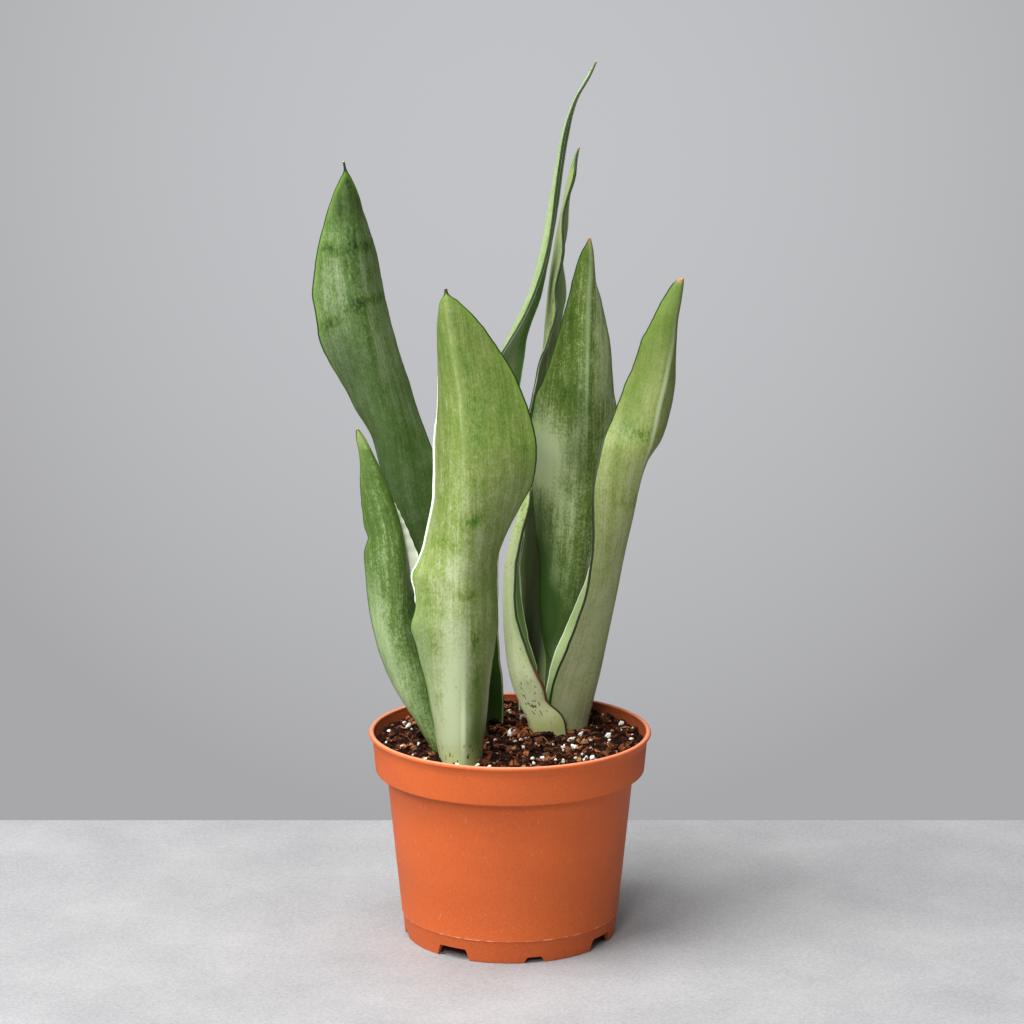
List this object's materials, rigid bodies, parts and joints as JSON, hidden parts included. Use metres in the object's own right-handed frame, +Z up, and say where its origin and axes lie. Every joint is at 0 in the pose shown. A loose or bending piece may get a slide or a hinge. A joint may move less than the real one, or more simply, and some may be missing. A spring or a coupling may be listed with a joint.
{
  "type": "potted snake plant",
  "caption": "Snake plant with keeled, folded and gently twisted upright leaves, standing in potting mix in a round moulded nursery pot with a deep rim band and a notched foot.",
  "frame": {"origin": "middle of the whole plant's box, on the plane the pot's foot ring stands on; the pot's own axis is 7.5 mm along +X from it", "axes": "+Z up along the pot's axis, +X to the right as seen from the front, +Y to the back"},
  "size_m": [0.221, 0.1716, 0.5242],
  "materials": {
    "pot": "satin",
    "soil": "matte",
    "leaf": "satin"
  },
  "bodies": {
    "root": {"pot": "pot", "soil": "soil", "leaf_tall_left": "leaf", "leaf_short_left": "leaf", "leaf_front": "leaf", "leaf_tallest": "leaf", "leaf_slim_back": "leaf", "leaf_centre": "leaf", "leaf_small": "leaf", "leaf_right": "leaf"}
  },
  "joints": []
}
